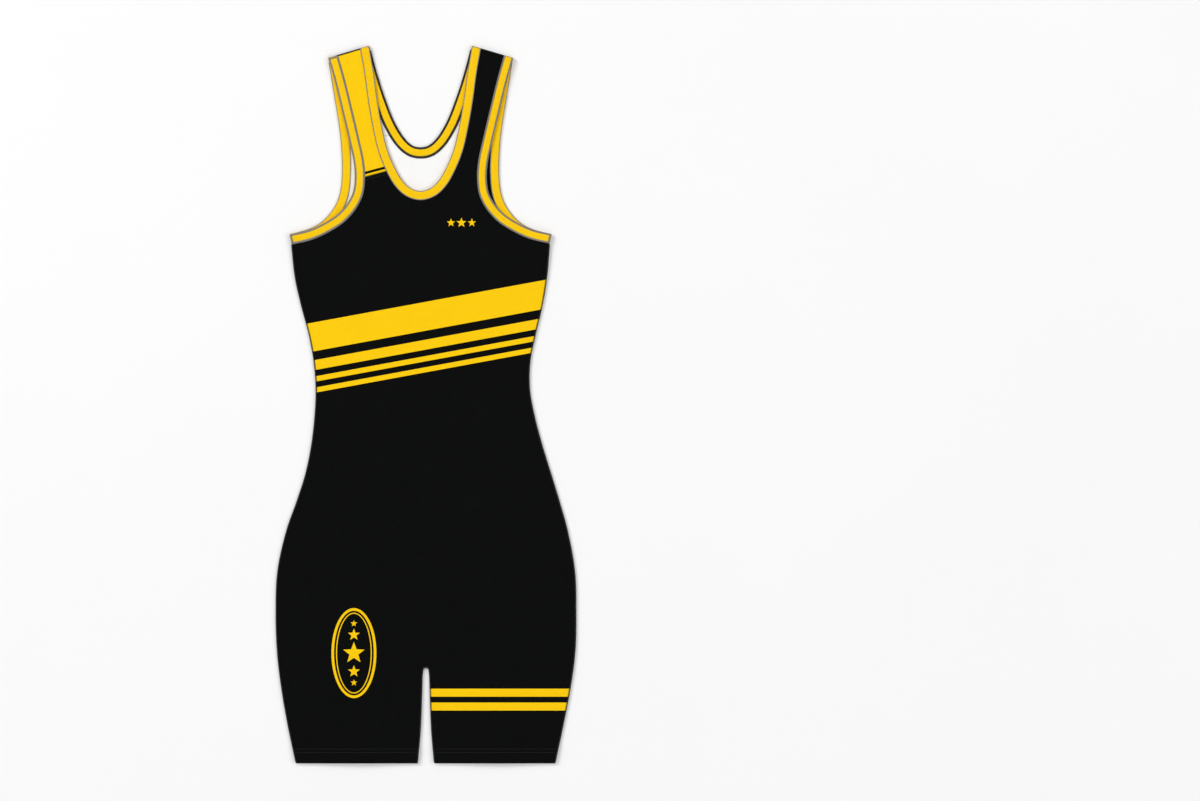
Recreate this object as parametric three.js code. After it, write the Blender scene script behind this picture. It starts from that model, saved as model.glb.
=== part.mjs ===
// Wrestling singlet lying flat on a table, front up, straps away from the viewer.
// The front and back are thin walls of cloth that lie on each other. Folded bindings edge the neck and the
// armholes, a gold panel makes the right strap, and a tape closes each shoulder fold.
// Millimetres, +Z up. The origin is under the middle of the garment, on the table.
// "Left" and "right" in names are the wearer's; seen from the front, the wearer's right is on the left.
import * as THREE from "three";
import { mergeVertices } from "three/addons/utils/BufferGeometryUtils.js";

// Driving sizes. "up" is measured from the front leg hems, "out" from the middle of the chest.
const garmentLength = 861;
const clothWall = 1;
const seamGap = 0.3;
const bindingWidth = 10.5;
const bindingThick = 2;
const hemDepth = 20;
const hemExtra = 0.5;
const hemStep = 2;
const backHemUp = 3;
const chestMiddle = -6.5;
const crotchUp = 115;
const bodyTopUp = 576;
const tapeDepth = 5;
const tapeNose = 1.4;

// How finely the walls are divided, from the hems up to the shoulders.
const columnsPerHalf = 7;
const curveSteps = 480;
const legSections = [44, 66, 88, 104, 111];
const steps = { body: 19, underarm: 2, armhole: 7, neckBase: 6, strap: 9 };

// The side edges, seen from the front: a row for each section across the body.
const sideSections = [
  { up: 0, left: -156, right: 155 },
  { up: 45, left: -165.5, right: 164.5 },
  { up: 95, left: -174, right: 174 },
  { up: 135, left: -178.5, right: 179 },
  { up: 180, left: -180, right: 180 },
  { up: 230, left: -178, right: 178.5 },
  { up: 280, left: -167, right: 169.5 },
  { up: 314, left: -155, right: 160 },
  { up: 347, left: -144.5, right: 150 },
  { up: 381, left: -137.5, right: 139.5 },
  { up: 415, left: -133.5, right: 130.5 },
  { up: 448, left: -132, right: 124.5 },
  { up: 482, left: -134.5, right: 125 },
  { up: 515, left: -140.5, right: 131.5 },
  { up: 549, left: -149.5, right: 139.5 },
  { up: 583, left: -157, right: 145 },
  { up: 624, left: -161.5, right: 148.5 },
];

// The inner edges of the legs, from the hem to the crotch.
const inseamSections = [
  { up: 0, out: 10 },
  { up: 40, out: 6.6 },
  { up: 80, out: 5 },
  { up: 104, out: 4.3 },
  { up: 111, out: 3.6 },
];

// Free edges of the bindings up to the shoulder fold: armholes from the underarm, necks from the middle.
const fold = { armhole: { out: 111, up: 846.5 }, neck: { out: 62, up: garmentLength } };
const armholes = {
  front: [
    { out: 157, up: 634.5 },
    { out: 134, up: 640 },
    { out: 115.5, up: 648.5 },
    { out: 100, up: 658.5 },
    { out: 87.5, up: 672.5 },
    { out: 81, up: 686 },
    { out: 79, up: 704 },
    { out: 80.5, up: 722 },
    { out: 85, up: 743 },
    { out: 93, up: 777 },
    { out: 103, up: 818 },
    fold.armhole,
  ],
  back: [
    { out: 157, up: 634.5 },
    { out: 134, up: 641 },
    { out: 122, up: 647 },
    { out: 110, up: 658 },
    { out: 101, up: 671.5 },
    { out: 96, up: 686.5 },
    { out: 94, up: 709 },
    { out: 94.5, up: 733 },
    { out: 97, up: 760 },
    { out: 104, up: 804 },
    fold.armhole,
  ],
};
const necks = {
  front: [
    { out: 0, up: 686.5 },
    { out: 12, up: 690 },
    { out: 22.5, up: 700 },
    { out: 33, up: 719 },
    { out: 40.5, up: 738.5 },
    { out: 47, up: 767 },
    { out: 52, up: 796 },
    { out: 56.5, up: 829 },
    fold.neck,
  ],
  back: [
    { out: 0, up: 738 },
    { out: 9.5, up: 740 },
    { out: 19.5, up: 748.5 },
    { out: 31.5, up: 767.5 },
    { out: 43, up: 796 },
    { out: 53, up: 827 },
    fold.neck,
  ],
};

// Where the gold strap panel's seam meets the bindings' seams, on the armhole side and on the neck side.
const strapSeams = {
  front: { armholeUp: 702.5, neckUp: 710.8 },
  back: { armholeUp: 752.5, neckUp: 752.5 },
};

// Soft mounds where the front stands off the back: middle, half sizes and height.
const mounds = [
  { x: -10, up: 330, acrossHalf: 120, upHalf: 130, height: 1.6 },
  { x: 35, up: 560, acrossHalf: 80, upHalf: 60, height: 1.2 },
  { x: -60, up: 590, acrossHalf: 60, upHalf: 70, height: 0.9 },
  { x: -88, up: 150, acrossHalf: 70, upHalf: 90, height: 1.3 },
  { x: 92, up: 165, acrossHalf: 65, upHalf: 100, height: 1.5 },
  { x: -82, up: 0, acrossHalf: 62, upHalf: 75, height: 2.4 },
  { x: 82, up: 0, acrossHalf: 62, upHalf: 70, height: 2.2 },
];

const vector = (x, y) => new THREE.Vector2(x, y);
const mix = THREE.MathUtils.lerp;
const rise = THREE.MathUtils.smoothstep;
const series = (count, make) => Array.from({ length: count + 1 }, (_, k) => make(k / count));
const withoutFirst = (line) => line.slice(1);

// Closely and evenly spaced points on a smooth curve through the points.
function smoothLine(points) {
  const through = points.map((p) => new THREE.Vector3(p.x, p.y, 0));
  const curve = new THREE.CatmullRomCurve3(through, false, "centripetal");
  return curve.getSpacedPoints(curveSteps).map((p) => vector(p.x, p.y));
}

// A line moved sideways, to the right of its direction.
function moved(line, distance) {
  return line.map((point, i) => {
    const along = line[Math.min(i + 1, line.length - 1)].clone().sub(line[Math.max(i - 1, 0)]).normalize();
    return vector(point.x + along.y * distance, point.y - along.x * distance);
  });
}

const between = (a, b, parts) => series(parts, (share) => a.clone().lerp(b, share));

// The outward distance in a column of a table, on a smooth curve through its rows.
function edgeAt(sections, column) {
  const line = smoothLine(sections.map((row) => vector(row[column], row.up)));
  return (up) => {
    const i = THREE.MathUtils.clamp(line.findIndex((p) => p.y >= up), 1, line.length - 1);
    const [a, b] = [line[i - 1], line[i]];
    return mix(a.x, b.x, THREE.MathUtils.clamp((up - a.y) / (b.y - a.y), 0, 1));
  };
}

function distanceTo(line, point) {
  let nearest = Infinity;
  for (let i = 1; i < line.length; i++) {
    const along = line[i].clone().sub(line[i - 1]);
    const share = THREE.MathUtils.clamp(point.clone().sub(line[i - 1]).dot(along) / along.lengthSq(), 0, 1);
    nearest = Math.min(nearest, line[i - 1].clone().addScaledVector(along, share).distanceTo(point));
  }
  return nearest;
}

// How far a point of the half with its armhole on the right lies below the shoulder fold.
const foldEnds = [fold.neck, fold.armhole].map(({ out, up }) => vector(out, up));
const foldAlong = foldEnds[1].clone().sub(foldEnds[0]).normalize();
const belowFold = (point) => -foldAlong.cross(point.clone().sub(foldEnds[0]));

// Where a line comes up to a distance below the fold.
function endBelowFold(line, distance) {
  const i = line.findIndex((p) => belowFold(p) < distance);
  const [high, low] = [belowFold(line[i - 1]), belowFold(line[i])];
  return line[i - 1].clone().lerp(line[i], (high - distance) / (high - low));
}

// The lines of a face's bindings in that half: free edge, seam and panel edge, station for station.
function bindingLines(face) {
  const foldGap = seamGap + (face === "front" ? tapeNose : tapeDepth);
  const stations = (line, turn, start, seamUp, stepsBelow) => {
    const panelEdge = moved(line, turn * (bindingWidth + seamGap));
    const seam = panelEdge.findIndex((p, i) => i > start && p.y >= seamUp);
    const end = line.findIndex((p, i) => i > start && belowFold(p) < foldGap);
    const below = series(stepsBelow, (share) => Math.round(mix(start, seam, share)));
    const above = series(steps.strap, (share) => Math.round(mix(seam, end, share)));
    return [...below, ...withoutFirst(above)];
  };
  const linesFrom = (line, turn, indices) => {
    const at = (inwards) => {
      const whole = moved(line, turn * inwards);
      return [...indices.slice(0, -1).map((i) => whole[i]), endBelowFold(whole.slice(indices[0]), foldGap)];
    };
    return { edge: at(0), seam: at(bindingWidth), panel: at(bindingWidth + seamGap) };
  };
  const point = ({ out, up }) => vector(out, up);
  const neckHalf = necks[face].map(point);
  const otherHalf = withoutFirst(neckHalf).reverse().map((p) => vector(-p.x, p.y));
  const neckLine = smoothLine([...otherHalf, ...neckHalf]);
  const armholeLine = smoothLine(armholes[face].map(point));
  const neckStations = stations(neckLine, 1, curveSteps / 2, strapSeams[face].neckUp, steps.neckBase);
  const armholeSteps = steps.armhole + steps.neckBase;
  const armholeStations = stations(armholeLine, -1, 0, strapSeams[face].armholeUp, armholeSteps);
  return {
    armhole: linesFrom(armholeLine, -1, armholeStations),
    neck: linesFrom(neckLine, 1, neckStations),
  };
}

const bindings = { front: bindingLines("front"), back: bindingLines("back") };
const placed = (line, side) => line.map((p) => vector(chestMiddle + side * p.x, p.y));
const sideX = { "-1": edgeAt(sideSections, "left"), 1: edgeAt(sideSections, "right") };
const inseamOut = edgeAt(inseamSections, "out");

// The places where the heights change: the seams of the bindings and the side edges.
const bindingSeams = (face) =>
  [-1, 1].flatMap((side) => ["armhole", "neck"].map((kind) => placed(bindings[face][kind].panel, side)));
const seams = { front: bindingSeams("front"), back: bindingSeams("back") };
const sideEdges = [-1, 1].map((side) => sideSections.map((row) => vector(sideX[side](row.up), row.up)));
const bindingReach = 28;
const sideReach = 30;
const upperBodyFrom = 560;
const upperBodyFull = 620;
const nearest = (lines, point) => Math.min(...lines.map((line) => distanceTo(line, point)));
const besideBinding = (face, point) => 1 - rise(nearest(seams[face], point), 0, bindingReach);
const besideSide = (point) => 1 - rise(nearest(sideEdges, point), 0, sideReach);
const upperBody = (up) => rise(up, upperBodyFrom, upperBodyFull);
const hemAt = (up) => hemExtra * (1 - rise(up, hemDepth - hemStep, hemDepth + hemStep));
const bindingExtra = bindingThick - clothWall;

function moundAt(point) {
  const bump = (m) => {
    const apart = Math.hypot((point.x - m.x) / m.acrossHalf, (point.y - m.up) / m.upHalf);
    return m.height * (1 - rise(apart, 0, 1));
  };
  return mounds.reduce((sum, m) => sum + bump(m), 0) * (1 - besideSide(point));
}

// Heights of the two faces. The back lies on the table and the front on the back.
const backUnder = (point) =>
  bindingExtra * Math.max(besideBinding("back", point) / 2, upperBody(point.y) * besideSide(point));
const backOver = (point) => backUnder(point) + clothWall + hemAt(point.y - backHemUp);
const frontRest = (point) =>
  clothWall + hemAt(point.y - backHemUp) + seamGap + bindingExtra * upperBody(point.y);
const frontUnder = (point) => {
  const beside = besideBinding("front", point) * (1 - besideSide(point));
  return frontRest(point) + (bindingExtra / 2) * beside + moundAt(point);
};
const frontOver = (point) => frontUnder(point) + clothWall + hemAt(point.y);

// A closed wall over cells of four corners each, given anticlockwise from above, between two heights.
function wallOver(cells, under, over) {
  const position = [];
  const push = (...corners) => corners.forEach((c) => position.push(c.x, c.y - garmentLength / 2, c.z));
  const at = (p, height) => new THREE.Vector3(p.x, p.y, height(p));
  const key = (p) => `${p.x.toFixed(3)},${p.y.toFixed(3)}`;
  const edges = new Map();
  for (const ring of cells) {
    for (let i = 1; i < ring.length - 1; i++) {
      push(at(ring[0], over), at(ring[i], over), at(ring[i + 1], over));
      push(at(ring[0], under), at(ring[i + 1], under), at(ring[i], under));
    }
    ring.forEach((p, i) => {
      const next = ring[(i + 1) % ring.length];
      edges.set(`${key(p)}>${key(next)}`, [p, next]);
    });
  }
  for (const [p, q] of edges.values()) {
    if (edges.has(`${key(q)}>${key(p)}`)) continue;
    push(at(p, under), at(q, under), at(q, over));
    push(at(p, under), at(q, over), at(p, over));
  }
  const geometry = new THREE.BufferGeometry();
  geometry.setAttribute("position", new THREE.Float32BufferAttribute(position, 3));
  const merged = mergeVertices(geometry, 1e-3);
  merged.computeVertexNormals();
  return merged;
}

// Cells between rows of points. A half's rows go up and each runs from the outer edge to the inner one.
function cellsOf(rows, side) {
  const cells = [];
  for (let r = 1; r < rows.length; r++) {
    for (let c = 1; c < rows[r].length; c++) {
      const cell = [rows[r - 1][c - 1], rows[r - 1][c], rows[r][c], rows[r][c - 1]];
      cells.push(side < 0 ? cell : cell.reverse());
    }
  }
  return cells;
}

// The middle of the body between crotch and neck.
const middleX = (up) => mix(0, chestMiddle, rise(up, crotchUp, bodyTopUp));

// Rows of one half of a panel, from hem to shoulder, and the index of the row on the strap seam.
function halfRows(face, side) {
  const hemUp = face === "front" ? 0 : backHemUp;
  const legUps = [hemUp, hemUp + hemDepth - hemStep, hemUp + hemDepth + hemStep, ...legSections];
  const bodyUps = series(steps.body, (share) => mix(crotchUp, bodyTopUp, share));
  const armhole = placed(bindings[face].armhole.panel, side);
  const neck = placed(bindings[face].neck.panel, side);
  const underarmUps = series(steps.underarm, (share) => mix(bodyTopUp, armhole[0].y, share)).slice(1, -1);
  const chest = between(vector(middleX(bodyTopUp), bodyTopUp), neck[0], steps.underarm + steps.armhole);
  const outer = [
    ...[...legUps, ...bodyUps, ...underarmUps].map((up) => vector(sideX[side](up), up)),
    ...armhole,
  ];
  const inner = [
    ...legUps.map((up) => vector(side * inseamOut(up), up)),
    ...bodyUps.map((up) => vector(middleX(up), up)),
    ...withoutFirst(chest),
    ...withoutFirst(neck),
  ];
  const rows = outer.map((point, i) => between(point, inner[i], columnsPerHalf));
  return { rows, seamRow: rows.length - 1 - steps.strap };
}

// The same rows cut at the strap seam: those up to it, and those from a seam gap above it.
function splitAtSeam({ rows, seamRow }) {
  const next = rows[seamRow + 1];
  const lifted = rows[seamRow].map((p, c) => p.clone().lerp(next[c], seamGap / p.distanceTo(next[c])));
  return { body: rows.slice(0, seamRow + 1), strap: [lifted, ...rows.slice(seamRow + 1)] };
}

// A folded binding from its free edge to its seam, with rounded edges, resting on a height.
const bindingProfile = [
  { across: 0, fullness: 0.45 },
  { across: 0.1, fullness: 0.88 },
  { across: 0.5, fullness: 1 },
  { across: 0.9, fullness: 0.88 },
  { across: 1, fullness: 0.45 },
];

function bindingWall(edge, seam, side, restsOn) {
  const fullness = new Map();
  const rows = edge.map((point, i) => bindingProfile.map((column) => {
    const p = point.clone().lerp(seam[i], column.across);
    fullness.set(p, column.fullness);
    return p;
  }));
  const half = (p) => (bindingThick / 2) * fullness.get(p);
  const middle = restsOn + bindingThick / 2;
  return wallOver(cellsOf(rows, side), (p) => middle - half(p), (p) => middle + half(p));
}

function armholeBinding(face, side, restsOn) {
  const { edge, seam } = bindings[face].armhole;
  return bindingWall(placed(edge, side), placed(seam, side), side, restsOn);
}

function neckBinding(face, restsOn) {
  const { edge, seam } = bindings[face].neck;
  const across = (line) => [...placed(line, -1).reverse(), ...withoutFirst(placed(line, 1))];
  return bindingWall(across(edge), across(seam), -1, restsOn);
}

// The tape that closes a shoulder: a rounded nose over the fold, and a flat tail on the back strap's side.
function shoulderTape(side) {
  const ends = placed(foldEnds, side).sort((a, b) => a.x - b.x);
  const height = 2 * bindingThick + seamGap;
  const section = new THREE.Shape();
  section.moveTo(tapeDepth, 0);
  section.lineTo(tapeDepth, bindingThick);
  section.lineTo(tapeNose, bindingThick);
  section.lineTo(tapeNose, height);
  section.absellipse(tapeNose, height / 2, tapeNose, height / 2, Math.PI / 2, (3 * Math.PI) / 2, false);
  const depth = ends[0].distanceTo(ends[1]);
  const geometry = new THREE.ExtrudeGeometry(section, { depth, bevelEnabled: false, curveSegments: 8 });
  const along = new THREE.Vector3(ends[1].x - ends[0].x, ends[1].y - ends[0].y, 0).normalize();
  const up = new THREE.Vector3(0, 0, 1);
  const down = new THREE.Vector3().crossVectors(along, up);
  geometry.applyMatrix4(new THREE.Matrix4().makeBasis(down, up, along.clone().negate()));
  geometry.translate(ends[1].x, ends[1].y - garmentLength / 2, 0);
  geometry.deleteAttribute("uv");
  geometry.deleteAttribute("normal");
  const merged = mergeVertices(geometry, 1e-3);
  merged.computeVertexNormals();
  return merged;
}

const black = new THREE.MeshStandardMaterial({ color: 0x0a0c0b, roughness: 0.6, metalness: 0 });
const gold = new THREE.MeshStandardMaterial({ color: 0xffcc05, roughness: 0.6, metalness: 0 });
const tapeBlack = new THREE.MeshStandardMaterial({ color: 0x111312, roughness: 0.75, metalness: 0 });

const singlet = new THREE.Group();
function sew(name, geometry, material) {
  const mesh = new THREE.Mesh(geometry, material);
  mesh.name = name;
  singlet.add(mesh);
}

// The wearer's right strap, on the left seen from the front, is the gold one.
const faces = [
  { face: "front", under: frontUnder, over: frontOver, bindingRest: bindingThick + seamGap },
  { face: "back", under: backUnder, over: backOver, bindingRest: 0 },
];
for (const { face, under, over, bindingRest } of faces) {
  const { body, strap } = splitAtSeam(halfRows(face, -1));
  const plainHalf = halfRows(face, 1).rows;
  sew(`${face}_panel`, wallOver([...cellsOf(body, -1), ...cellsOf(plainHalf, 1)], under, over), black);
  sew(`strap_panel_${face}_right`, wallOver(cellsOf(strap, -1), under, over), gold);
  sew(`neck_binding_${face}`, neckBinding(face, bindingRest), gold);
  sew(`armhole_binding_${face}_right`, armholeBinding(face, -1, bindingRest), gold);
  sew(`armhole_binding_${face}_left`, armholeBinding(face, 1, bindingRest), gold);
}
sew("shoulder_tape_right", shoulderTape(-1), tapeBlack);
sew("shoulder_tape_left", shoulderTape(1), tapeBlack);

export default singlet;
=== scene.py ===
# Wrestling singlet lying flat with its front up on a pale floor, seen from straight above.
# The cutting pattern is in millimetres: "out" from the middle of the chest, "up" from the front leg hems.
import math
import random

import bmesh
import bpy
import numpy as np
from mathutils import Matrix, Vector, kdtree


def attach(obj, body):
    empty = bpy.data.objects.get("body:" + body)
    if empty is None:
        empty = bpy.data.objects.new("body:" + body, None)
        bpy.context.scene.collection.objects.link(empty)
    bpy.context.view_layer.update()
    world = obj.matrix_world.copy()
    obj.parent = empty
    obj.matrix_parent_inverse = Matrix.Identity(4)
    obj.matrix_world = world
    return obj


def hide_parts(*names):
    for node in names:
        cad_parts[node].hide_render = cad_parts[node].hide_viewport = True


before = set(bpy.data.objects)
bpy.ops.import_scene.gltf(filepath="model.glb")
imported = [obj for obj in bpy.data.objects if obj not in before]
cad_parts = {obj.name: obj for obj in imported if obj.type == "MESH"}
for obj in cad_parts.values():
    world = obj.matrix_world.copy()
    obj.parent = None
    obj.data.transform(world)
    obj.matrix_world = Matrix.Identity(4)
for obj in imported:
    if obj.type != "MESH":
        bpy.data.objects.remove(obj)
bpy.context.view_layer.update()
print("frame loaded")

# The camera looks straight down, with 1.2 mm to each pixel of the picture
cameraSettings = {
    "x": 0.2088, "y": 0.0048, "height": 8.0, "lens": 200.0, "sensorWidth": 36.0, "farthest": 60.0,
}


def linked(name, data):
    made = bpy.data.objects.new(name, data)
    bpy.context.scene.collection.objects.link(made)
    return made


def placeCamera():
    data = bpy.data.cameras.new("cameraAbove")
    data.lens = cameraSettings["lens"]
    data.sensor_fit = "HORIZONTAL"
    data.sensor_width = cameraSettings["sensorWidth"]
    data.clip_end = cameraSettings["farthest"]
    above = linked("cameraAbove", data)
    above.location = (cameraSettings["x"], cameraSettings["y"], cameraSettings["height"])
    bpy.context.scene.camera = above


placeCamera()
print("camera placed")

wearerSides = {-1: "right", 1: "left"}


def table(fields, rows):
    # Named values for each row, in the order of the fields
    return {key: dict(zip(fields.split(), row)) for key, row in rows.items()}


# Sizes of the cutting pattern, in millimetres
pattern = {
    "length": 861.0, "chestMiddle": -6.5, "crotchUp": 115.0, "notchRoundFrom": 111.0, "bodyTopUp": 576.0,
    "clothWall": 1.0, "seamGap": 0.3, "bindingWidth": 10.5, "bindingThick": 2.0,
    "hemDepth": 20.0, "hemStep": 2.0, "hemExtra": 0.5, "backHemUp": 3.0,
    "tapeDepth": 5.0, "tapeNose": 1.4,
}

# Side edges: up, then out on the right of the wearer (left in the picture) and on the left
sideSections = [
    (0, -156, 155), (45, -165.5, 164.5), (95, -174, 174), (135, -178.5, 179), (180, -180, 180),
    (230, -178, 178.5), (280, -167, 169.5), (314, -155, 160), (347, -144.5, 150), (381, -137.5, 139.5),
    (415, -133.5, 130.5), (448, -132, 124.5), (482, -134.5, 125), (515, -140.5, 131.5),
    (549, -149.5, 139.5), (583, -157, 145), (624, -161.5, 148.5),
]
inseamSections = [(0, 10), (40, 6.6), (80, 5), (104, 4.3), (111, 3.6)]  # up, out

# Free edges of the bindings: out, up
foldEnds = {"neck": (62, 861), "armhole": (111, 846.5)}
armholeEdges = {
    "front": [
        (157, 634.5), (134, 640), (115.5, 648.5), (100, 658.5), (87.5, 672.5), (81, 686),
        (79, 704), (80.5, 722), (85, 743), (93, 777), (103, 818), foldEnds["armhole"],
    ],
    "back": [
        (157, 634.5), (134, 641), (122, 647), (110, 658), (101, 671.5), (96, 686.5),
        (94, 709), (94.5, 733), (97, 760), (104, 804), foldEnds["armhole"],
    ],
}
neckEdges = {
    "front": [
        (0, 686.5), (12, 690), (22.5, 700), (33, 719), (40.5, 738.5), (47, 767), (52, 796),
        (56.5, 829), foldEnds["neck"],
    ],
    "back": [
        (0, 738), (9.5, 740), (19.5, 748.5), (31.5, 767.5), (43, 796), (53, 827), foldEnds["neck"],
    ],
}
strapSeams = {"front": {"armhole": 702.5, "neck": 710.8}, "back": {"armhole": 752.5, "neck": 752.5}}

# Soft mounds where the front stands off the back: middle x, up, half width, half length, height
mounds = [
    (-10, 330, 120, 130, 1.6), (35, 560, 80, 60, 1.2), (-60, 590, 60, 70, 0.9), (-88, 150, 70, 90, 1.3),
    (92, 165, 65, 100, 1.5), (-82, 0, 62, 75, 2.4), (82, 0, 62, 70, 2.2),
]


def rise(value, low, high):
    share = np.clip((value - low) / (high - low), 0, 1)
    return share * share * (3 - 2 * share)


def lengthsAlong(line):
    return np.concatenate([[0], np.cumsum(np.linalg.norm(np.diff(line, axis=0), axis=1))])


def pointsAt(line, far, wanted):
    # Points of a line at wanted distances, where far holds the distances of its own points
    return np.column_stack([np.interp(wanted, far, line[:, k]) for k in range(line.shape[1])])


def pickAlong(line, places):
    # Points of a line at fractional places in its list
    return pointsAt(line, np.arange(len(line)), places)


def smoothLine(points, spacing=0.5, odd=False, steps=60):
    # A smooth curve through the points in even steps, with a point in its middle if odd is set
    given = np.array(points, float)
    given = np.vstack([2 * given[0] - given[1], given, 2 * given[-1] - given[-2]])
    pieces = []
    share = np.linspace(0, 1, steps, endpoint=False)[:, None]
    for a, b, c, d in zip(given[:-3], given[1:-2], given[2:-1], given[3:]):
        one, two, three = (math.sqrt(np.linalg.norm(q - p)) for p, q in ((a, b), (b, c), (c, d)))
        leave = ((b - a) / one - (c - a) / (one + two) + (c - b) / two) * two
        reach = ((c - b) / two - (d - b) / (two + three) + (d - c) / three) * two
        bend = 3 * (c - b) - 2 * leave - reach
        twist = 2 * (b - c) + leave + reach
        pieces.append(b + leave * share + bend * share**2 + twist * share**3)
    pieces.append(given[-2:-1])
    line = np.vstack(pieces)
    far = lengthsAlong(line)
    count = max(2, int(round(far[-1] / spacing)))
    count += count % 2 if odd else 0
    return pointsAt(line, far, np.linspace(0, far[-1], count + 1))


def moved(line, distance):
    # A line moved sideways, to the right of its direction
    along = np.empty_like(line)
    along[1:-1] = line[2:] - line[:-2]
    along[0] = line[1] - line[0]
    along[-1] = line[-1] - line[-2]
    along /= np.linalg.norm(along, axis=1)[:, None]
    return line + distance * np.column_stack([along[:, 1], -along[:, 0]])


foldStart = np.array(foldEnds["neck"], float)
foldAlong = np.array(foldEnds["armhole"], float) - foldStart
foldLength = float(np.linalg.norm(foldAlong))
foldAlong /= foldLength


def belowFold(points):
    away = points - foldStart
    return -(foldAlong[0] * away[:, 1] - foldAlong[1] * away[:, 0])


def bindingEdge(face, kind):
    if kind == "neck":
        half = neckEdges[face]
        return smoothLine([(-x, up) for x, up in half[:0:-1]] + list(half), odd=True)
    return smoothLine(armholeEdges[face])


bindingEdges = {
    (face, kind): bindingEdge(face, kind) for face in ("front", "back") for kind in ("neck", "armhole")
}


def bindingRun(face, kind, inward, below):
    # The line of a binding at a distance from its free edge, and the places where it starts and ends
    edge = bindingEdges[face, kind]
    line = moved(edge, inward if kind == "neck" else -inward)
    first = len(line) // 2
    under = belowFold(line)
    cut = first + int(np.argmax(under[first:] < below))
    end = cut - 1 + (under[cut - 1] - below) / (under[cut - 1] - under[cut])
    start = len(line) - 1 - end if kind == "neck" else 0.0
    return line, start, end


def placed(line, side):
    return np.column_stack([pattern["chestMiddle"] + side * line[:, 0], line[:, 1]])


def edgeOf(rows):
    line = smoothLine([(out, up) for up, out in rows])
    return lambda up: np.interp(up, line[:, 1], line[:, 0])


sideAt = {
    -1: edgeOf([(up, right) for up, right, left in sideSections]),
    1: edgeOf([(up, left) for up, right, left in sideSections]),
}
inseamEdge = edgeOf(inseamSections)


def inseamAt(up):
    low, high = pattern["notchRoundFrom"], pattern["crotchUp"]
    over = np.clip((up - low) / (high - low), 0, 1)
    return inseamEdge(np.minimum(up, low)) * np.sqrt(1 - over**2)


def middleAt(up):
    return pattern["chestMiddle"] * rise(up, pattern["crotchUp"], pattern["bodyTopUp"])


def nearestOf(lines):
    # Gives a function for the distance to the nearest of some lines, and how far along it that is
    spots = np.vstack(lines)
    lineFar = np.concatenate([lengthsAlong(line) for line in lines])
    tree = kdtree.KDTree(len(spots))
    for i, (x, y) in enumerate(spots):
        tree.insert((x, y, 0), i)
    tree.balance()

    def find(points):
        found = [tree.find((x, y, 0)) for x, y in points]
        return np.array([f[2] for f in found]), lineFar[[f[1] for f in found]]

    return find


def seamLines(face):
    inward = pattern["bindingWidth"] + pattern["seamGap"]
    lines = []
    for side in (-1, 1):
        for kind in ("armhole", "neck"):
            line, start, end = bindingRun(face, kind, inward, 0)
            first = start if kind == "armhole" else (len(line) - 1) / 2
            lines.append(placed(pickAlong(line, np.arange(first, end)), side))
    return lines


sideTop = sideSections[-1][0]
sideUps = np.arange(0, sideTop, 2.0)
nearSeams = {face: nearestOf(seamLines(face)) for face in ("front", "back")}
nearSides = nearestOf([np.column_stack([sideAt[side](sideUps), sideUps]) for side in (-1, 1)])

# How the cloth lies: reaches of the rises beside bindings and sides, and its small unevenness
lie = {
    "bindingReach": 28.0, "sideReach": 30.0, "tuckReach": 7.0, "upperFrom": 560.0, "upperFull": 620.0,
    "thinner": 0.1, "waveHeight": 0.42,
    "puckerHeight": 0.16, "puckerReach": 6.0, "puckerFrom": 2.0, "puckerPitch": 5.4,
    "puckerDrift": (1.4, 9.0), "hemPucker": 0.12, "hemPuckerUp": 17.0, "hemPuckerReach": 6.0,
    "hemPuckerWave": 1.1, "hemPuckerDrift": (1.2, 7.0),
}


def hemAt(up):
    low, high = pattern["hemDepth"] - pattern["hemStep"], pattern["hemDepth"] + pattern["hemStep"]
    return pattern["hemExtra"] * (1 - rise(up, low, high))


def bindingRest(face):
    # The height that a face's bindings rest at
    return pattern["bindingThick"] + pattern["seamGap"] if face == "front" else 0.0


def softWaves(x, y):
    # From 0 to 1: broad waves about 140 to 230 mm long, with finer ones on them
    broad = np.sin(x / 23 + 0.7 * np.sin(y / 41)) * np.sin(y / 37 + 0.9 * np.sin(x / 29))
    fine = np.sin(x / 9.5 + y / 14 + 1.3 * np.sin(y / 33)) * np.sin(y / 17 - x / 31)
    return 0.5 + 0.36 * broad + 0.14 * fine


def puckers(x, up, seamAway, seamFar):
    # Small ripples beside the bindings' seams and along the hem
    drift, hemDrift = lie["puckerDrift"], lie["hemPuckerDrift"]
    turn = 2 * np.pi * seamFar / lie["puckerPitch"] + drift[0] * np.sin(seamFar / drift[1])
    ripple = 0.5 + 0.5 * np.sin(turn)
    fade = np.exp(-((seamAway / lie["puckerReach"]) ** 2)) * rise(seamAway, 0, lie["puckerFrom"])
    hemRipple = 0.5 + 0.5 * np.sin(x / lie["hemPuckerWave"] + hemDrift[0] * np.sin(x / hemDrift[1]))
    hemFade = np.exp(-(((up - lie["hemPuckerUp"]) / lie["hemPuckerReach"]) ** 2))
    return lie["puckerHeight"] * ripple * fade + lie["hemPucker"] * hemRipple * hemFade


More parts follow.
